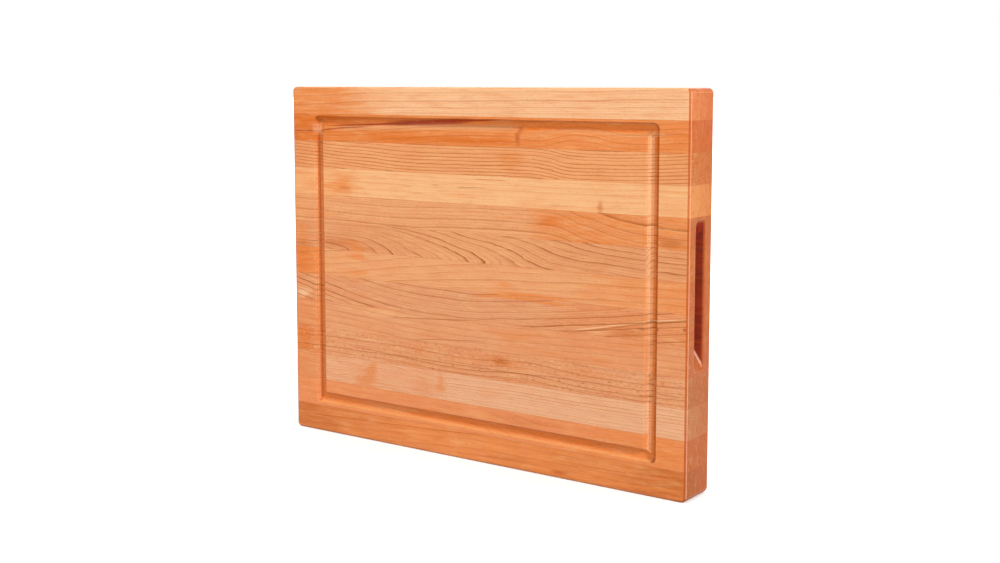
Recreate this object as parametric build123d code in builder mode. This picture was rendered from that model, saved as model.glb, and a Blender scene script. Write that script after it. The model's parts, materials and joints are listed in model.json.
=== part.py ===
from build123d import *
import os

# Laminated edge-grain cutting board, standing on one long edge.
# X runs along the staves, Y through the thickness with the grooved front face at -Y, and Z is up.
# The origin lies on the resting plane, under the middle of the board.
# The whole board is shaped first, then cut along its glue joints into blocks of wood and films of glue.

# ---- Driving dimensions, in millimetres ----

board_length = 450  # along X
board_height = 350  # along Z
board_thickness = 42  # along Y
corner_radius = 5  # the four corners, seen from the front
rim_radius = 2.5  # roundover along the rim of both faces

stave_count = 13  # strips of equal height, numbered from the top
butt_joints = {2: 279, 11: 195}  # stave number: its end-to-end joint, from the left end of the board
glue_thickness = 0.15  # cured film between two blocks

groove_radius = 5.8  # round-nosed cutter, so the juice groove is twice as wide as it is deep
groove_inset = 35  # from each side of the board to the groove's centre line
groove_lip_radius = 0.6  # sanded edge of the groove

grip_length = 130  # finger grip, along Z at the end face, before its mouth is eased
grip_width = 16  # between the grip's two cheeks, along Y
grip_depth = 11  # from the end face to the grip's floor
grip_ramp = 17  # height of the slope at each end of a grip
grip_bend_radius = 10  # between a slope and the floor
grip_floor_radius = 3  # between the cheeks and the floor
grip_lip_radius = 2  # eased edge of the mouth

# ---- Sizes worked out from them ----

half_length = board_length / 2
half_thickness = board_thickness / 2
middle_height = board_height / 2
stave_height = (board_height - (stave_count - 1) * glue_thickness) / stave_count
stave_pitch = stave_height + glue_thickness
groove_length = board_length - 2 * groove_inset
groove_height = board_height - 2 * groove_inset

front_plane = Plane.XZ.offset(half_thickness)
grip_plane = Plane(origin=(half_length, 0, middle_height), x_dir=(1, 0, 0), z_dir=(0, -1, 0))

# ---- Finger grip: the waste that a cutter takes out of the right-hand end ----

with BuildPart() as grip_waste:
    with BuildSketch(grip_plane) as grip_profile:
        with BuildLine():
            upper_half = Polyline(
                (-grip_depth, 0),
                (-grip_depth, grip_length / 2 - grip_ramp),
                (0, grip_length / 2),
                (grip_depth, grip_length / 2),
                (grip_depth, 0),
            )
            mirror(upper_half, about=Plane.XZ)
        make_face()
        fillet(grip_profile.vertices().group_by(Axis.X)[0], grip_bend_radius)
    extrude(amount=grip_width / 2, both=True)
    cheek_edges = grip_waste.faces().filter_by(Axis.Y).edges()
    fillet(cheek_edges.filter_by(lambda edge: edge.center().X < half_length), grip_floor_radius)

# ---- Whole board, as it leaves the sander ----

with BuildPart() as board:
    with BuildSketch(front_plane):
        with Locations((0, middle_height)):
            RectangleRounded(board_length, board_height, corner_radius)
    extrude(amount=-board_thickness)
    fillet(board.faces().filter_by(Axis.Y).edges(), rim_radius)

    # Juice groove: a round-nosed cutter run round a rectangle on the front face
    with BuildLine(front_plane) as groove_path:
        Polyline(
            (0, middle_height - groove_height / 2),
            (groove_length / 2, middle_height - groove_height / 2),
            (groove_length / 2, middle_height + groove_height / 2),
            (-groove_length / 2, middle_height + groove_height / 2),
            (-groove_length / 2, middle_height - groove_height / 2),
            close=True,
        )
    with BuildSketch(groove_path.line ^ 0):
        Circle(groove_radius)
    sweep(transition=Transition.ROUND, mode=Mode.SUBTRACT)

    # A finger grip in each end
    add(grip_waste.part, mode=Mode.SUBTRACT)
    add(mirror(grip_waste.part, about=Plane.YZ, mode=Mode.PRIVATE), mode=Mode.SUBTRACT)

    # Eased edges: the two grip mouths, then both edges of the groove
    end_faces = board.faces().filter_by(Axis.X).sort_by(Axis.X)
    mouths = [end_faces[0].inner_wires()[0], end_faces[-1].inner_wires()[0]]
    fillet([edge for mouth in mouths for edge in mouth.edges()], grip_lip_radius)

    front_faces = board.faces().filter_by(Axis.Y).group_by(Axis.Y)[0]
    inside_rim = half_length - groove_inset + 2 * groove_radius
    lip_edges = front_faces.edges().filter_by(
        lambda edge: edge.bounding_box().max.X < inside_rim
        and edge.bounding_box().min.X > -inside_rim
        and edge.bounding_box().min.Z > groove_inset - 2 * groove_radius
        and edge.bounding_box().max.Z < board_height - groove_inset + 2 * groove_radius
    )
    fillet(lip_edges, groove_lip_radius)


# ---- Blocks and glue films: the board cut into separate pieces ----


def write_slice(name, low_x, high_x, low_z, high_z):
    """Writes the piece of the board between two lengths along it and two heights."""
    with BuildPart() as piece:
        add(board.part)
        with Locations(((low_x + high_x) / 2, 0, (low_z + high_z) / 2)):
            Box(high_x - low_x, board_thickness, high_z - low_z, mode=Mode.INTERSECT)
    piece.part.label = name
    export_step(piece.part, f"parts/{name}.step")


os.makedirs("parts", exist_ok=True)

for number in range(1, stave_count + 1):
    top = board_height - (number - 1) * stave_pitch
    bottom = top - stave_height
    if number in butt_joints:
        joint = butt_joints[number] - half_length
        film_left = joint - glue_thickness / 2
        film_right = joint + glue_thickness / 2
        write_slice(f"stave_{number:02d}_left", -half_length, film_left, bottom, top)
        write_slice(f"butt_glue_{number:02d}", film_left, film_right, bottom, top)
        write_slice(f"stave_{number:02d}_right", film_right, half_length, bottom, top)
    else:
        write_slice(f"stave_{number:02d}", -half_length, half_length, bottom, top)
    if number < stave_count:
        film_name = f"glue_line_{number:02d}_{number + 1:02d}"
        write_slice(film_name, -half_length, half_length, bottom - glue_thickness, bottom)
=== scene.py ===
import json
import math

import bmesh
import bpy
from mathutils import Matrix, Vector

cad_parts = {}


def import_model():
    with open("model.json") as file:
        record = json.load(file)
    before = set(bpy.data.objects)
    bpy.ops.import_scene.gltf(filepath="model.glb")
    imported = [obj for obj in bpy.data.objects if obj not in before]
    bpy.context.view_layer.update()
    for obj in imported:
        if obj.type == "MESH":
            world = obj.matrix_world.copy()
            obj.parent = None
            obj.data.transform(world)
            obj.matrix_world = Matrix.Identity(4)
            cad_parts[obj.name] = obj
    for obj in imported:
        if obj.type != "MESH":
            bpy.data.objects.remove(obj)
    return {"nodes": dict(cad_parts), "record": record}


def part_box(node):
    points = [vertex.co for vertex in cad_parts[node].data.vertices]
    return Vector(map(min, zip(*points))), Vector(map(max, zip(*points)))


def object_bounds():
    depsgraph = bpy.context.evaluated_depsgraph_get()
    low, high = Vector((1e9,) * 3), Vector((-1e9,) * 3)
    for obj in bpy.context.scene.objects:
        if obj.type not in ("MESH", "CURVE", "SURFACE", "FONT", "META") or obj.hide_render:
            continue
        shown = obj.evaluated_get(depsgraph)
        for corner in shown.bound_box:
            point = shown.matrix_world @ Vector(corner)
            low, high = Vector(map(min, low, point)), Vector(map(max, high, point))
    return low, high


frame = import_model()
cad_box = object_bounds()

# ---------------------------------------------------------------- sizes, in millimetres

MM = 1000  # millimetres in a metre
STAVE_COUNT = 13

board_low, board_high = cad_box
BOARD_LENGTH = (board_high.x - board_low.x) * MM
BOARD_THICKNESS = (board_high.y - board_low.y) * MM
BOARD_HEIGHT = (board_high.z - board_low.z) * MM
FRONT = board_low.y * MM
HALF_LENGTH = BOARD_LENGTH / 2
STAVE_HALF_HEIGHT = BOARD_HEIGHT / STAVE_COUNT / 2

# The record states a box inside each hollow, and the hollow reaches a little further than its box.
GRIP_PAST_BOX_SIDEWAYS = 2.5
GRIP_PAST_BOX_UPWARD = 12
GROOVE_PAST_BOX = 2.2

openings = {opening["name"]: opening["box_m"] for opening in frame["record"]["physics"]["openings"]}
grip_low, grip_high = openings["right_grip_mouth"]
groove_low, groove_high = openings["juice_groove_lower"]
GRIP_HALF_WIDTH = (grip_high[1] - grip_low[1]) / 2 * MM + GRIP_PAST_BOX_SIDEWAYS
GRIP_HALF_REACH = (grip_high[2] - grip_low[2]) / 2 * MM + GRIP_PAST_BOX_UPWARD
GROOVE_DEPTH = (groove_high[1] - groove_low[1]) * MM + GROOVE_PAST_BOX

MARK_DEPTH = 26  # how far into the wood a blotch or streak at the front goes
MARK_SOLID_DEPTH = 4  # how far in a streak keeps its full strength
BACK_FADE = (12, 34)  # between these depths the tone of the front gives way to one even tone
END_REACH = 14  # how far from the ends of the board a face across the grain counts as end grain
RIM_WIDTH = 3.0  # how far from the ends the roundovers reach
RIM_SOLID_WIDTH = 2.4


# ---------------------------------------------------------------- colours

STUDIO_LIGHT = 1.91  # how much light falls on the front of the board
SHEEN = 0.018  # what its gloss adds to every channel
DARKEST = 0.004  # no wood reflects less than this


def linear(red, green, blue):
    """A colour given as 0 to 255 per channel, in the linear values that the nodes take."""
    def channel(value):
        value /= 255
        return value / 12.92 if value <= 0.04045 else ((value + 0.055) / 1.055) ** 2.4
    return (channel(red), channel(green), channel(blue), 1)


def oiled(red, green, blue):
    """The reflectance of wood that looks this colour in the studio's light."""
    seen = linear(red, green, blue)[:3]
    return tuple(max(DARKEST, (value - SHEEN) / STUDIO_LIGHT) for value in seen) + (1,)


# the wood of the staves, from pale to dark
CREAM = oiled(251, 196, 148)
STRAW = oiled(248, 190, 134)
PALE_TAN = oiled(240, 182, 140)
APRICOT = oiled(248, 172, 114)
PEACH = oiled(238, 168, 116)
PINK_PEACH = oiled(233, 164, 118)
TAN = oiled(231, 155, 106)
CORAL = oiled(242, 148, 86)
SALMON_PINK = oiled(236, 147, 96)
BLUSH = oiled(232, 146, 108)
SALMON = oiled(232, 144, 90)
HONEY = oiled(236, 140, 76)
AMBER = oiled(225, 116, 42)
SIENNA = oiled(206, 114, 58)
RUST = oiled(190, 96, 46)
UMBER = oiled(158, 84, 46)
HEART = oiled(140, 52, 20)

# lines and streaks in it
LINE_SOFT = oiled(186, 108, 58)
LINE_DARK = oiled(164, 90, 42)
STREAK_RED = oiled(184, 66, 18)
STREAK_BROWN = oiled(158, 74, 26)

# the juice groove
# painted shade: a saturated orange for the bottom of the groove, which lies in the key light's shadow
GROOVE_SHADE_ORANGE = oiled(252, 136, 56)
# painted shade on the groove's walls, and also the colour of a real dark mark on stave 2
GROOVE_SHADE_AND_MARK = oiled(204, 98, 16)
GROOVE_LIT = oiled(255, 174, 108)
# painted light: a pale reflectance that lightens the shadowed middle of the right groove
GROOVE_PAINTED_LIGHT = (0.72, 0.34, 0.16, 1)  # a reflectance: this wood lies in the shadow of the groove's lip

# the ends and the finger grips
END_BLOT = oiled(184, 76, 24)
RIM_BROWN = oiled(182, 84, 44)
# pale blots on the end grain, and painted highlights on the rims and along the grip's ramp
PALE_BLOT_AND_HIGHLIGHT = oiled(240, 176, 146)
# painted shade inside the finger grips, mottled
GRIP_SHADE_RED = oiled(182, 62, 20)
GRIP_SHADE_DARK = oiled(134, 30, 8)

# glue and floor
GLUE_DARK = oiled(170, 84, 40)
GLUE_LIGHT = oiled(206, 118, 66)
FLOOR_DARK = (0.69, 0.69, 0.69, 1)
FLOOR_LIGHT = (0.72, 0.72, 0.72, 1)


# ---------------------------------------------------------------- arithmetic on shader nodes

NOISE_MIDDLE = 0.5  # the mean of Blender's noise textures
NOISE_STRETCH = 2.6  # brings them to about -1 to 1
OBJECT_OUTPUT = 3  # the Object output of the Texture Coordinate node
NORMAL_OUTPUT = 1  # the Normal output of the Geometry node
FLAT = 1e-6  # a curve that rises by less than this is a plain number
SPECULAR = 0.05


class Term:
    """A number that varies over a surface, so that a formula reads like ordinary arithmetic."""

    def __init__(self, shader, socket):
        self.shader = shader
        self.socket = socket

    def __add__(self, other):
        return self.shader.math("ADD", self, other)

    def __sub__(self, other):
        return self.shader.math("SUBTRACT", self, other)

    def __rsub__(self, other):
        return self.shader.math("SUBTRACT", other, self)

    def __mul__(self, other):
        return self.shader.math("MULTIPLY", self, other)

    def __truediv__(self, other):
        return self.shader.math("DIVIDE", self, other)

    def __abs__(self):
        return self.shader.math("ABSOLUTE", self)

    __radd__ = __add__
    __rmul__ = __mul__

    def rise(self, low, high):
        """0 below low, 1 above high and a smooth step between them; low may be the larger."""
        if low < high:
            return self.shader.step(self, low, high)
        return 1 - self.shader.step(self, high, low)


class Shader:
    """One material, built from short calls."""

    def __init__(self, name):
        self.material = bpy.data.materials.new(name)
        self.material.use_nodes = True
        self.tree = self.material.node_tree
        self.tree.nodes.clear()

    def give(self, socket, value):
        """Links a Term to the socket, or sets the socket to a plain value."""
        if isinstance(value, Term):
            self.tree.links.new(value.socket, socket)
        else:
            socket.default_value = value

    def add(self, kind, inputs, output=0, **settings):
        node = self.tree.nodes.new(kind)
        for name, value in settings.items():
            setattr(node, name, value)
        for key, value in inputs.items():
            self.give(node.inputs[key], value)
        return Term(self, node.outputs[output])

    def math(self, operation, *values, clamp=False):
        return self.add("ShaderNodeMath", dict(enumerate(values)), operation=operation, use_clamp=clamp)

    def step(self, value, low, high):
        inputs = {"Value": value, "From Min": low, "From Max": high}
        return self.add("ShaderNodeMapRange", inputs, interpolation_type="SMOOTHSTEP")

    def place(self):
        """The three coordinates on the object, in metres."""
        return self.split(self.add("ShaderNodeTexCoord", {}, output=OBJECT_OUTPUT))

    def split(self, vector):
        node = self.tree.nodes.new("ShaderNodeSeparateXYZ")
        self.tree.links.new(vector.socket, node.inputs[0])
        return [Term(self, output) for output in node.outputs]

    def noise(self, x, y, z, detail=2.0, roughness=0.5, distortion=0.0):
        """Smooth noise, about -1 to 1."""
        vector = self.add("ShaderNodeCombineXYZ", {"X": x, "Y": y, "Z": z})
        inputs = {"Vector": vector, "Scale": 1.0, "Detail": detail,
                  "Roughness": roughness, "Distortion": distortion}
        return (self.add("ShaderNodeTexNoise", inputs) - NOISE_MIDDLE) * NOISE_STRETCH

    def noise_along(self, value):
        """Smooth noise of one number, about -1 to 1."""
        inputs = {"W": value, "Scale": 1.0, "Detail": 1.0}
        return (self.add("ShaderNodeTexNoise", inputs, noise_dimensions="1D") - NOISE_MIDDLE) * NOISE_STRETCH

    def random(self, value):
        """A random number from 0 to 1 for each whole number."""
        return self.add("ShaderNodeTexWhiteNoise", {"W": value}, noise_dimensions="1D")

    def path(self, along, points):
        """A smooth curve through a few points (distance along the board, value)."""
        low = min(value for _, value in points)
        high = max(value for _, value in points)
        if high - low < FLAT:
            return self.math("ADD", low, 0.0)
        node = self.tree.nodes.new("ShaderNodeFloatCurve")
        curve = node.mapping.curves[0]
        while len(curve.points) < len(points):
            curve.points.new(0.5, 0.5)
        for point, (place, value) in zip(curve.points, points):
            point.location = ((place + HALF_LENGTH) / BOARD_LENGTH, (value - low) / (high - low))
            point.handle_type = "AUTO_CLAMPED"
        node.mapping.update()
        share = self.math("DIVIDE", along + HALF_LENGTH, BOARD_LENGTH, clamp=True)
        self.tree.links.new(share.socket, node.inputs["Value"])
        return Term(self, node.outputs[0]) * (high - low) + low

    def mix(self, share, first, second):
        node = self.tree.nodes.new("ShaderNodeMix")
        node.data_type = "RGBA"
        for socket, value in ((node.inputs[0], share), (node.inputs[6], first), (node.inputs[7], second)):
            self.give(socket, value)
        return Term(self, node.outputs[2])

    def finish(self, colour, roughness, height, coat, coat_roughness, bump_strength, bump_distance):
        """The Principled shader with a bump, wired to the output."""
        normal = self.add("ShaderNodeBump", {"Height": height, "Strength": bump_strength,
                                             "Distance": bump_distance})
        shader = self.add("ShaderNodeBsdfPrincipled", {
            "Base Color": colour, "Roughness": roughness, "Normal": normal, "Coat Normal": normal,
            "Coat Weight": coat, "Coat Roughness": coat_roughness, "Specular IOR Level": SPECULAR})
        output = self.tree.nodes.new("ShaderNodeOutputMaterial")
        self.tree.links.new(shader.socket, output.inputs["Surface"])
        return self.material


# ---------------------------------------------------------------- blotches and streaks

class Patch:
    """A soft-edged blotch at the front of a stave, with its centre and half sizes in mm.

    edge is how much of its radius is soft, taper narrows it upward and lean slants it.
    """

    REACH = 1.15  # where its outer edge lies, in half sizes
    THINNEST = 0.1  # what a taper leaves of its length at least

    def __init__(self, along, up, half_length, half_height, colour, amount, edge=1.1, taper=0, lean=0):
        self.along, self.up, self.taper, self.lean = along, up, taper, lean
        self.half_length, self.half_height = half_length, half_height
        self.colour, self.amount, self.edge = colour, amount, edge

    def mask(self, s, grain):
        upward = (grain.up - self.up) / self.half_height
        across = (grain.along - self.along - (grain.up - self.up) * self.lean) / self.half_length
        if self.taper:
            across = across / s.math("MAXIMUM", 1 - upward * self.taper, self.THINNEST)
        inward = grain.deep / MARK_DEPTH
        reach = s.math("SQRT", across * across + upward * upward + inward * inward)
        reach = reach + grain.cloud * 0.5 + grain.quick * 0.3 + grain.band * 0.25 + grain.fibre * 0.2
        return reach.rise(self.REACH, self.REACH - self.edge)


class Streak:
    """A drawn-out line of colour at the front of a stave, through a few points (along, up)."""

    WANDER = 0.3  # mm that noise moves it up and down
    UNEVEN = 0.25  # mm that noise adds to its half thickness
    OUTSIDE, INSIDE = 1.3, 0.2  # where its soft edge begins and ends, in half thicknesses

    def __init__(self, points, thickness, colour, amount, ends=14):
        self.points, self.thickness, self.ends = points, thickness, ends
        self.colour, self.amount = colour, amount

    def mask(self, s, grain):
        first, last = self.points[0], self.points[-1]
        before = run_on(first, self.points[1], -HALF_LENGTH)
        after = run_on(last, self.points[-2], HALF_LENGTH)
        path = s.path(grain.along, [before, *self.points, after])
        off = abs(grain.up - path + grain.quick * self.WANDER)
        off = off / (grain.cloud * self.UNEVEN + self.thickness / 2)
        begin = grain.along.rise(first[0] - self.ends, first[0] + self.ends)
        end = grain.along.rise(last[0] + self.ends, last[0] - self.ends)
        depth = grain.deep.rise(MARK_DEPTH, MARK_SOLID_DEPTH)
        return off.rise(self.OUTSIDE, self.INSIDE) * begin * end * depth


def run_on(point, other, along):
    """Where the straight line through two points (distance along, height) reaches a distance along."""
    slope = (other[1] - point[1]) / (other[0] - point[0])
    return (along, point[1] + slope * (along - point[0]))


# ---------------------------------------------------------------- the staves, top to bottom

class Look:
    """How a stave looks. Distances are in mm: along from the board's middle, up from the stave's.

    end is the colour of its end grain. tone runs along it from 0, the deep colour, to 1, the light
    one. The rings are ring mm apart and bend round a centre line given by its height, pith_up, and
    its depth, pith_deep, which lean slants; without pith_deep it lies in the front face. contrast
    is how dark the ring lines are, steady how even from ring to ring, fleck how speckled the wood
    is and mottle how much its warmth varies.
    """

    def __init__(self, end, light, deep, line, ring, contrast, tone, pith_up, pith_deep=None,
                 lean=0, steady=0.25, fleck=0.4, mottle=0.5, marks=()):
        self.end, self.light, self.deep, self.line = end, light, deep, line
        self.ring, self.contrast, self.steady = ring, contrast, steady
        self.tone, self.fleck, self.mottle, self.marks = tone, fleck, mottle, marks
        self.pith_up, self.pith_deep, self.lean = pith_up, pith_deep, lean


STAVES = {
    1: Look(
        end=oiled(212, 112, 50), light=CREAM, deep=HONEY, line=LINE_SOFT, ring=6.6, contrast=0.5,
        tone=[(-225, 0.05), (-175, 0.1), (-140, 0.35), (-60, 0.9), (225, 0.9)],
        pith_up=[(-225, -76), (-130, -72), (0, -70), (120, -69), (225, -67)]),
    2: Look(
        end=oiled(196, 98, 20), light=CORAL, deep=AMBER, line=LINE_DARK, ring=5.2, contrast=0.5,
        tone=[(-225, 0), (-120, 0.5), (54, 0.7), (130, 0.85), (225, 0.65)],
        pith_up=[(-225, -62), (-120, -57), (40, -50), (70, -52), (115, -46), (170, -52), (225, -50)],
        marks=[Streak([(-165, 0.5), (-100, 1.6), (-20, 3.4), (48, 3.4)], 6.5, PEACH, 0.85),
               Streak([(70, 0), (115, 2.6), (170, 0), (200, 1)], 4, PEACH, 0.6),
               Streak([(-120, -9), (-30, -8.4), (46, -9)], 7, AMBER, 0.75),
               Streak([(-105, 5.2), (-60, 7.4), (-5, 10)], 5.5, RUST, 0.8),
               Streak([(-172, 2), (-120, 4), (-60, 7.2), (0, 9.8), (34, 11.2)], 1.8, STREAK_RED, 1.0),
               Streak([(-92, 5.8), (-60, 7), (-10, 9.4)], 5.5, STREAK_RED, 1.0),
               Streak([(-225, -3.6), (-190, -3), (-168, -0.6), (-130, 1.6)], 1.8, STREAK_BROWN, 0.8),
               # painted highlight: a pale spot where the groove turns its top-left corner
               Patch(-193, -2, 6, 8, PALE_TAN, 0.6),
               Patch(-192, 7, 4, 2, RUST, 0.8),
               Patch(-182, 8, 40, 5, AMBER, 0.8),
               Patch(52, -3, 4, 14, GROOVE_SHADE_AND_MARK, 0.85)]),
    3: Look(
        end=oiled(193, 107, 44), light=APRICOT, deep=SALMON, line=LINE_DARK, ring=3.3, contrast=1.0,
        steady=0.6,
        tone=[(-225, 0.35), (-120, 0.85), (40, 0.8), (130, 0.95), (225, 0.6)],
        pith_up=[(-225, 86), (-130, 81), (-50, 78), (60, 79), (85, 77.5), (120, 73.5), (170, 74),
                 (225, 77)],
        marks=[Patch(42, 2, 18, 12, HONEY, 0.5)]),
    4: Look(
        end=oiled(216, 135, 66), light=STRAW, deep=HONEY, line=LINE_SOFT, ring=5.4, contrast=0.24,
        fleck=0.32,
        tone=[(-225, 0.6), (-180, 0.65), (-100, 0.95), (60, 0.95), (225, 0.8)],
        pith_up=[(-225, -78), (0, -80), (225, -77)],
        marks=[Patch(-158, -1, 24, 16, HONEY, 0.8),
               Streak([(-82, 0), (-72, 0)], 1.2, UMBER, 0.4, ends=3),
               Streak([(-46, 2.6), (-38, 2.6)], 1.4, UMBER, 0.4, ends=3),
               Streak([(-16, 1.8), (16, 2.4)], 1.2, UMBER, 0.45, ends=4),
               Streak([(6, 10.2), (38, 10.4)], 1.0, RUST, 0.6, ends=5),
               Patch(139, -8, 4, 8, SIENNA, 0.6),
               Patch(-155, -5, 9, 2, RUST, 0.5)]),
    5: Look(
        end=oiled(178, 95, 40), light=PEACH, deep=HONEY, line=LINE_DARK, ring=9, contrast=0.7,
        fleck=0.5, mottle=0.6,
        tone=[(-225, 0.6), (-190, 0.85), (0, 1), (60, 0.85), (95, 0.25), (225, 0.2)],
        pith_up=[(-225, 43), (-100, 41), (0, 44), (70, 45), (120, 36), (190, 24), (225, 22)],
        marks=[Patch(209, -8, 20, 5.5, RUST, 0.6),
               Patch(85, 3, 16, 6, AMBER, 0.5)]),
    6: Look(
        end=oiled(186, 102, 42), light=PEACH, deep=TAN, line=LINE_DARK, ring=2.6, contrast=0.8,
        steady=0.1, lean=3.8,
        tone=[(-225, 0.2), (-100, 0.3), (0, 0.85), (100, 0.35), (225, 0.2)],
        pith_up=[(-225, -40), (225, -40)],
        pith_deep=[(-225, 4), (-196, 9.5), (-175, 14.3), (-148, 22), (-111, 29.5), (-78, 35),
                   (-30, 41.5), (12, 46.9), (36, 49.9), (74, 52.8), (143, 55.7), (225, 58)],
        marks=[Patch(-214, 0, 16, 22, HONEY, 0.6),
               Patch(-152, -8, 44, 8, SIENNA, 0.55),
               Patch(-144, -9, 15, 7, HONEY, 0.9),
               Patch(-210, -10, 18, 4, SIENNA, 0.5)]),
    7: Look(
        end=oiled(180, 91, 34), light=PEACH, deep=HONEY, line=LINE_SOFT, ring=7, contrast=0.5,
        tone=[(-225, 0), (-198, 0.05), (-188, 0.8), (60, 1), (150, 0.6), (225, 0.3)],
        pith_up=[(-225, -78), (-155, -70), (-60, -57), (60, -47), (225, -41)],
        marks=[Patch(-214, 0, 16, 22, AMBER, 0.6),
               Patch(-141, 8, 15, 5, HONEY, 0.8),
               Patch(-138, -7, 20, 5, HONEY, 0.7),
               Patch(38, -4, 12, 6, HONEY, 0.7),
               Streak([(30, -12), (70, -11.5), (105, -12.5)], 4, HONEY, 0.9)]),
    8: Look(
        end=oiled(182, 98, 42), light=PINK_PEACH, deep=SALMON, line=LINE_DARK, ring=5.8, contrast=0.85,
        fleck=0.5, mottle=0.85,
        tone=[(-225, 0.4), (-150, 0.7), (0, 0.9), (80, 0.7), (140, 0.3), (225, 0.2)],
        pith_up=[(-225, 84), (-170, 72), (-130, 64), (-80, 58), (-20, 56), (40, 60), (115, 69),
                 (190, 79), (225, 84)],
        marks=[Patch(-215, -8, 10, 7, CREAM, 0.9, taper=-0.6),
               Streak([(5, 9.8), (40, 12), (100, 10)], 4.2, HONEY, 0.85),
               Streak([(112, -11.4), (148, -4), (185, 3.6), (222, 9.2)], 1.5, CREAM, 0.9),
               Streak([(112, -13), (148, -5.8), (185, 1.6), (222, 7.4)], 1.1, UMBER, 0.6),
               Patch(172, -8, 20, 5, SIENNA, 0.6),
               Patch(182, -3, 7, 1.6, UMBER, 0.7),
               Patch(195.5, -1.6, 2.2, 1.7, HEART, 0.9),
               Patch(222, 0.6, 2.6, 2, HEART, 0.95)]),
    9: Look(
        end=oiled(175, 90, 36), light=PINK_PEACH, deep=SALMON, line=LINE_SOFT, ring=6.2, contrast=0.5,
        tone=[(-225, 0.05), (-196, 0.2), (-180, 0.8), (0, 0.8), (80, 0.5), (120, 0.45), (225, 0.6)],
        pith_up=[(-225, 68), (-140, 65), (-60, 60), (0, 59), (100, 63), (225, 66)],
        marks=[Streak([(-90, 6.4), (-50, 9), (0, 12.6)], 1.1, UMBER, 0.7),
               Streak([(-68, -12.6), (-30, -9), (10, -6)], 1.0, UMBER, 0.55),
               Patch(50, 4, 34, 5, SALMON, 0.6),
               Patch(180, 8, 26, 8, SALMON, 0.6),
               Patch(-110, 8, 34, 5, STRAW, 0.5)]),
    10: Look(
        end=oiled(166, 93, 42), light=PINK_PEACH, deep=SALMON, line=LINE_DARK, ring=5, contrast=0.65,
        fleck=1.25, mottle=0.85,
        tone=[(-225, 0.1), (-196, 0.15), (-180, 0.75), (20, 0.6), (80, 0.8), (225, 0.9)],
        pith_up=[(-225, -61), (-100, -59), (-20, -62), (60, -58), (140, -62), (225, -60)],
        marks=[Patch(-215, 0, 19, 28, AMBER, 0.75),
               Streak([(-140, -2), (-60, -4.2), (40, -4), (120, -2), (220, -3.6)], 1.0, UMBER, 0.6),
               Streak([(-100, -11), (-20, -12), (80, -10.4), (200, -12)], 1.0, RUST, 0.5),
               Patch(34, 5, 34, 9, SALMON, 0.7),
               Patch(34, 5, 11, 5, SIENNA, 0.9),
               Patch(120, 4, 40, 7, SALMON, 0.5),
               Patch(190, 6, 20, 6, SALMON, 0.6),
               Patch(-62, 3, 10, 9, SALMON, 0.6),
               Patch(182, -7, 9, 1.6, RUST, 0.8),
               Patch(182, -4, 46, 9, PEACH, 0.3)]),
    11: Look(
        end=oiled(173, 104, 55), light=PALE_TAN, deep=SALMON, line=LINE_SOFT, ring=2.6, contrast=0.6,
        tone=[(-225, 0), (-198, 0.1), (-184, 0.7), (-60, 0.65), (-28, 1), (225, 0.95)],
        pith_up=[(-225, -74), (-170, -76), (-130, -60), (-105, -58), (-70, -63), (-30, -66),
                 (60, -65), (225, -64)],
        marks=[Patch(-126, -2, 13, 18, SALMON, 0.85, edge=0.9, taper=0.8, lean=0.5),
               Patch(-36, 2, 7, 12, SALMON, 0.8),
               Patch(-128, -9, 22, 6, SALMON, 0.6)]),
    12: Look(
        end=oiled(168, 91, 46), light=SALMON_PINK, deep=HONEY, line=LINE_SOFT, ring=7, contrast=0.22,
        tone=[(-225, 0.7), (-100, 0.9), (60, 1), (180, 0.4), (225, 0.4)],
        pith_up=[(-225, 40), (-40, 42), (50, 30), (100, 26), (150, 32), (225, 42)],
        marks=[Patch(60, 6, 44, 6, SIENNA, 0.35),
               Patch(-100, -5, 60, 5, APRICOT, 0.4),
               Patch(10, 5, 26, 5, APRICOT, 0.4),
               Patch(160, -4, 40, 5, APRICOT, 0.35),
               Patch(205, 0, 20, 12, HONEY, 0.5)]),
    13: Look(
        end=oiled(159, 88, 46), light=CORAL, deep=SIENNA, line=LINE_DARK, ring=6.4, contrast=0.22,
        tone=[(-225, 0.1), (-100, 0.75), (0, 0.9), (110, 0.7), (225, 0.15)],
        pith_up=[(-225, -52), (-100, -46), (0, -38), (100, -36), (160, -36), (225, -30)],
        marks=[Streak([(-222, 1.4), (-160, 4.4), (-80, 8), (10, 13)], 1.1, RUST, 0.7),
               Streak([(-222, 10.6), (-150, 12), (-90, 13)], 1.0, RUST, 0.6),
               Streak([(120, 2), (170, 4), (222, 7.6)], 1.1, RUST, 0.6),
               Streak([(60, -12), (130, -9), (222, -4)], 3.2, HONEY, 0.7),
               Patch(100, -8, 12, 2.4, RUST, 0.7),
               Patch(-60, -8, 60, 5, SALMON, 0.6),
               Patch(-10, 3, 30, 6, APRICOT, 0.35),
               Patch(150, 6, 40, 5, APRICOT, 0.3),
               Patch(-180, -6, 30, 6, SIENNA, 0.4),
               Patch(40, -4, 26, 5, SIENNA, 0.4)]),
}


# ---------------------------------------------------------------- wood

STAVE_SEED = 37.7  # keeps the noises of one stave apart from the next one's
RIGHT_SEED = 19.3  # and those of a right block apart from its left block's


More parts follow.
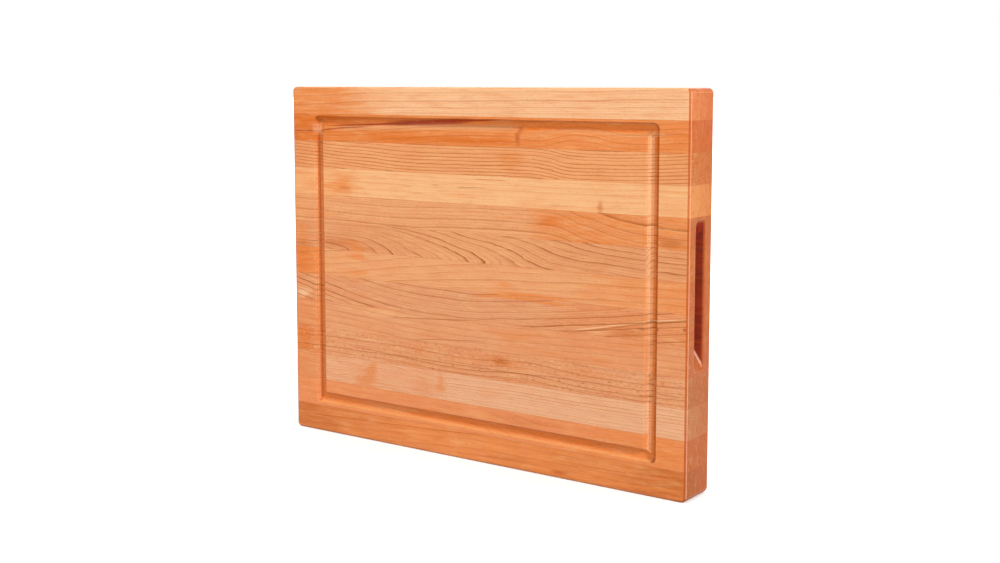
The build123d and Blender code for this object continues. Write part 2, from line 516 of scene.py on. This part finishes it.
class Grain:
    """A place on a stave in mm, the way the surface faces there, and the noises its looks share."""

    def __init__(self, s, low, high, seed):
        x, y, z = s.place()
        self.s, self.seed = s, seed
        self.along = x * MM  # from the board's middle
        self.deep = y * MM - FRONT  # from the front face
        self.up = (z - (low.z + high.z) / 2) * MM  # from the stave's middle
        self.above = z * MM  # from the board's lower edge
        self.inward = HALF_LENGTH - abs(self.along)  # from the nearer end
        self.off_centre = abs(self.deep - BOARD_THICKNESS / 2)  # from the middle of the thickness
        normal = s.add("ShaderNodeNewGeometry", {}, output=NORMAL_OUTPUT)
        self.facing_right, self.facing_back, self.facing_up = s.split(normal)

        self.slow = self.noise(90, 30, 24, detail=1)
        self.quick = self.noise(20, 8, 5, lift=5)
        self.cloud = self.noise(40, 20, 9, detail=3, distortion=0.4)
        self.band = self.noise(45, 3, 2.2)
        self.fibre = self.noise(26, 1.7, 1.7, detail=3, roughness=0.65)

    def noise(self, length, depth, height, shift=0, lift=0, **settings):
        """Noise from about -1 to 1, with features of these sizes in mm; shift and lift set it apart."""
        along = self.along / length + self.seed
        up = self.up / height
        if shift:
            along = along + shift
        if lift:
            up = up + lift
        return self.s.noise(along, self.deep / depth, up, **settings)


def ring_lines(grain, look):
    """How far through its ring a place is, from 0 to 1, and how dark the ring lines are there."""
    s = grain.s
    across = grain.deep
    if look.pith_deep:
        leaned = grain.along - (grain.up + STAVE_HALF_HEIGHT) * look.lean
        across = grain.deep - s.path(leaned, look.pith_deep)
    height = grain.up - s.path(grain.along, look.pith_up)

    # slow and quick noise bend the rings, and noise along the radius makes them wider and narrower
    radius = s.math("SQRT", across * across + height * height) + grain.slow * 1.5 + grain.quick * 0.4
    radius = radius + s.noise_along(radius / (2.2 * look.ring) + grain.seed) * (0.3 * look.ring)
    turns = radius / look.ring
    share = s.math("FRACT", turns)

    # latewood at the end of each ring, darker in some rings than in others, with fine lines between
    late = share.rise(0.66, 0.93) * share.rise(1.0, 0.96)
    strength = s.random(s.math("FLOOR", turns) + grain.seed) * (1 - look.steady) + look.steady
    fade = grain.noise(50, 20, 7) * 0.45 + 0.75
    fine_share = s.math("FRACT", turns * 3.0)
    fine = fine_share.rise(0.5, 0.9) * fine_share.rise(1.0, 0.92)
    lines = s.math("ADD", late * strength * fade * (1.15 * look.contrast),
                   fine * (0.3 * look.contrast), clamp=True)
    return share, lines


def ground_colour(grain, look, share):
    """The wood's own colour, with soft clouds and bands in it."""
    s = grain.s
    back_tone = 0.7
    behind = grain.deep.rise(*BACK_FADE)
    tone = s.path(grain.along, look.tone) * (1 - behind) + behind * back_tone
    tone = tone + grain.cloud * 0.3 + grain.band * 0.42 + grain.fibre * 0.12 - share * 0.12 + 0.06
    colour = s.mix(s.math("ADD", tone, 0.0, clamp=True), look.deep, look.light)
    warmth = grain.noise(28, 16, 6, shift=9, detail=3)
    colour = s.mix(warmth.rise(-0.1, 1.1) * look.mottle, colour, STRAW)
    return s.mix(warmth.rise(0.1, -1.1) * look.mottle, colour, BLUSH)


def groove_light_and_shade(grain, colour):
    """The juice groove: painted shade at its bottom and where the key light's shadow falls on its walls,
    painted light on walls lit from the right or from above and in the right groove's shaded middle.
    """
    s = grain.s
    facing_right, facing_up = grain.facing_right, grain.facing_up
    in_groove = grain.deep.rise(GROOVE_DEPTH + 1, GROOVE_DEPTH) * grain.inward.rise(END_REACH, END_REACH + 4)
    below_lip = in_groove * grain.deep.rise(0.6, 1.5)
    on_walls = in_groove * grain.deep.rise(0.8, 2.0)
    painted_bottom_shade = in_groove * grain.deep.rise(4.0, 5.6)
    left_half = grain.along.rise(20, -20)
    right_half = 1 - left_half

    # painted shade: the bottom of the groove, in the key light's shadow, turns a saturated orange
    colour = s.mix(painted_bottom_shade * 0.75, colour, GROOVE_SHADE_ORANGE)
    # painted light: the upper part of the right groove's wall that faces the key light turns pale cream
    painted_lit_wall = right_half * facing_right.rise(0.5, 0.8) * grain.above.rise(120, 210)
    colour = s.mix(below_lip * painted_lit_wall * 0.6, colour, CREAM)
    # painted light: the walls that face up, lit from above, turn pale
    colour = s.mix(below_lip * facing_up.rise(0.55, 0.8) * 0.8, colour, GROOVE_LIT)
    # painted light: the middle of the right groove, in the shadow of its lip, is lightened
    painted_light_middle = right_half * facing_right.rise(0.1, 0.35) * facing_right.rise(0.8, 0.6)
    colour = s.mix(on_walls * painted_light_middle * 0.6, colour, GROOVE_PAINTED_LIGHT)
    # painted shade: a dark band on the left groove's wall where the key light's shadow begins, and on the
    # right groove's wall that faces away from the key light
    painted_shade_band = left_half * facing_right.rise(0.36, 0.52) * facing_right.rise(0.9, 0.74)
    painted_shade_band = painted_shade_band + right_half * facing_right.rise(-0.05, -0.3)
    return s.mix(on_walls * painted_shade_band * 0.8, colour, GROOVE_SHADE_AND_MARK)


def fibres_and_pores(grain, look, colour):
    """The colour with fibres, flecks and pores in it, and the pores by themselves."""
    s = grain.s
    colour = s.mix(grain.fibre.rise(0.0, 1.1) * 0.6, colour, LINE_SOFT)
    colour = s.mix(grain.fibre.rise(0.0, -1.1) * 0.6, colour, CREAM)
    flecks = grain.noise(4, 1.5, 1.4)
    colour = s.mix(flecks.rise(0.1, 0.9) * look.fleck, colour, LINE_SOFT)
    colour = s.mix(flecks.rise(-0.1, -0.9) * (look.fleck * 0.5), colour, CREAM)
    pores = grain.noise(4.5, 0.5, 0.45, detail=1).rise(0.5, 0.95)
    return s.mix(pores * look.fleck, colour, LINE_DARK), pores


def oil_ends_and_rim_highlight(grain, look, colour, blots):
    """The colour with end grain that has drunk oil and is darker towards the back, a brown line on the
    roundovers with a painted highlight beside it, and the end grain by itself.
    """
    s = grain.s
    sideways = abs(grain.facing_right)
    end = sideways.rise(0.05, 0.6) * grain.inward.rise(END_REACH, END_REACH - 1)
    colour = s.mix(end * 0.8, colour, look.end)
    colour = s.mix(end * blots.rise(0.0, 0.6) * 0.6, colour, END_BLOT)
    colour = s.mix(end * blots.rise(0.0, -0.8) * 0.4, colour, PALE_BLOT_AND_HIGHLIGHT)
    colour = s.mix(end * grain.deep.rise(0, BOARD_THICKNESS) * 0.3, colour, RIM_BROWN)

    # a brown line on the roundover, and a painted highlight, a pale line, where it meets the end, but not on
    # the grip's lip
    near_end = grain.inward.rise(RIM_WIDTH, RIM_SOLID_WIDTH)
    rim = sideways.rise(0.1, 0.3) * sideways.rise(0.85, 0.6) * near_end
    colour = s.mix(rim * 0.6, colour, RIM_BROWN)
    grip_lip = grain.off_centre.rise(GRIP_HALF_WIDTH + 4, GRIP_HALF_WIDTH + 3)
    painted_rim_highlight = sideways.rise(0.8, 0.9) * sideways.rise(0.995, 0.97) * near_end
    painted_rim_highlight = painted_rim_highlight * abs(grain.facing_up).rise(0.35, 0.15)
    painted_rim_highlight = painted_rim_highlight * (1 - grip_lip * grain.facing_back.rise(-0.05, -0.2))
    return s.mix(painted_rim_highlight * 0.6, colour, PALE_BLOT_AND_HIGHLIGHT), end


def grip_shade_and_highlight(grain, colour, blots):
    """The finger grips: painted shade, dark red mottled with darker red, inside them, but not on the ramp at
    their lower end, which faces up, and a painted highlight along the ramp's edge.
    """
    s = grain.s
    from_middle = abs(grain.above - BOARD_HEIGHT / 2)
    in_grip = grain.inward.rise(0.4, 2.5) * grain.inward.rise(END_REACH, END_REACH - 1)
    in_grip = in_grip * grain.off_centre.rise(GRIP_HALF_WIDTH + 1, GRIP_HALF_WIDTH)
    in_grip = in_grip * from_middle.rise(GRIP_HALF_REACH + 1, GRIP_HALF_REACH)
    in_grip = in_grip * grain.facing_up.rise(0.5, 0.35)
    # painted shade: the inside of the grip, which light hardly reaches, is dark red with darker mottles
    colour = s.mix(in_grip * 0.9, colour, s.mix(blots.rise(-0.7, 0.7), GRIP_SHADE_RED, GRIP_SHADE_DARK))
    # painted highlight: a pale line where the ramp bends into the grip's wall
    ramp_edge = in_grip * grain.facing_up.rise(0.12, 0.24) * abs(grain.facing_right).rise(0.8, 0.6)
    return s.mix(ramp_edge * 0.8, colour, PALE_BLOT_AND_HIGHLIGHT)


def wood(name, number, low, high):
    """Cherry for one stave, whose lowest and highest corners are low and high."""
    look = STAVES[number]
    s = Shader(name)
    seed = STAVE_SEED * number + (RIGHT_SEED if name.endswith("right") else 0)
    grain = Grain(s, low, high, seed)
    blots = s.noise(grain.deep / 3.6 + seed, grain.up / 8, grain.along / 40,
                    detail=4, roughness=0.65, distortion=0.8)

    share, lines = ring_lines(grain, look)
    colour = ground_colour(grain, look, share)
    colour = groove_light_and_shade(grain, colour)
    for mark in look.marks:
        colour = s.mix(mark.mask(s, grain) * mark.amount, colour, mark.colour)
    colour = s.mix(lines, colour, look.line)
    colour, pores = fibres_and_pores(grain, look, colour)
    colour, end = oil_ends_and_rim_highlight(grain, look, colour, blots)
    colour = grip_shade_and_highlight(grain, colour, blots)

    roughness = 0.42 + grain.fibre * 0.04 + lines * 0.06 + end * 0.08
    relief = grain.fibre * -0.35 - lines * 0.3 - pores
    return s.finish(colour, roughness, relief, coat=0.1, coat_roughness=0.15,
                    bump_strength=0.3, bump_distance=0.0002)


def glue(name):
    """Cured glue, darkened by oil, with thin and thick places along the film."""
    s = Shader(name)
    x, y, z = s.place()
    patches = s.noise(x * MM / 14, y * MM / 6, z * MM / 6, detail=3)
    colour = s.mix(patches.rise(-0.8, 0.8), GLUE_DARK, GLUE_LIGHT)
    roughness = 0.5 + patches * 0.08
    return s.finish(colour, roughness, patches, coat=0.2, coat_roughness=0.35,
                    bump_strength=0.1, bump_distance=0.0001)


def dress(node, material):
    """Puts the material on a CAD node."""
    node.data.materials.clear()
    node.data.materials.append(material)


glue_material = glue("glue_film")
for name, node in frame["nodes"].items():
    if name.startswith("stave"):
        dress(node, wood("cherry_" + name, int(name.split("_")[1]), *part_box(name)))
    else:
        dress(node, glue_material)


# ---------------------------------------------------------------- floor, light and camera

def floor(radius):
    """A plain pale floor under the board."""
    mesh = bpy.data.meshes.new("floor")
    shape = bmesh.new()
    bmesh.ops.create_circle(shape, cap_ends=True, segments=96, radius=radius)
    shape.to_mesh(mesh)
    shape.free()
    piece = bpy.data.objects.new("floor", mesh)
    bpy.context.scene.collection.objects.link(piece)
    s = Shader("pale_floor")
    x, y, z = s.place()
    mottle = s.noise(x * 3, y * 3, z, detail=3)
    colour = s.mix(mottle.rise(-1, 1), FLOOR_DARK, FLOOR_LIGHT)
    s.finish(colour, 0.7 + mottle * 0.05, mottle, coat=0, coat_roughness=0.5,
             bump_strength=0.02, bump_distance=0.0005)
    mesh.materials.append(s.material)


def sun(name, turn, height, softness, strength):
    """A broad soft light from far off: turned round Z from the board's front, and above the floor."""
    data = bpy.data.lights.new(name, "SUN")
    data.energy = strength
    data.angle = math.radians(softness)
    piece = bpy.data.objects.new(name, data)
    piece.rotation_euler = (math.radians(90 - height), 0, math.radians(turn))
    bpy.context.scene.collection.objects.link(piece)


def world(strength):
    """A plain white studio all round."""
    studio = bpy.data.worlds.new("studio")
    studio.use_nodes = True
    background = studio.node_tree.nodes["Background"]
    background.inputs["Color"].default_value = (1, 1, 1, 1)
    background.inputs["Strength"].default_value = strength
    bpy.context.scene.world = studio


def camera(place, turn, tilt, lens, shift):
    """The camera that the board is seen from: turned round Z and tilted down, in degrees."""
    data = bpy.data.cameras.new("camera")
    data.lens = lens
    data.shift_y = shift
    piece = bpy.data.objects.new("camera", data)
    piece.location = place
    piece.rotation_euler = (math.radians(90 - tilt), 0, math.radians(turn))
    bpy.context.scene.collection.objects.link(piece)
    bpy.context.scene.camera = piece


floor(radius=30)
world(strength=1.0)
sun("key", turn=66, height=31, softness=8, strength=3.9)
sun("fill", turn=5, height=25, softness=80, strength=1.25)
sun("back", turn=215, height=40, softness=60, strength=2)
camera((0.737, -1.010, 0.355), turn=35.45, tilt=5.95, lens=48.3, shift=-0.06)
bpy.context.scene.view_settings.view_transform = "Standard"
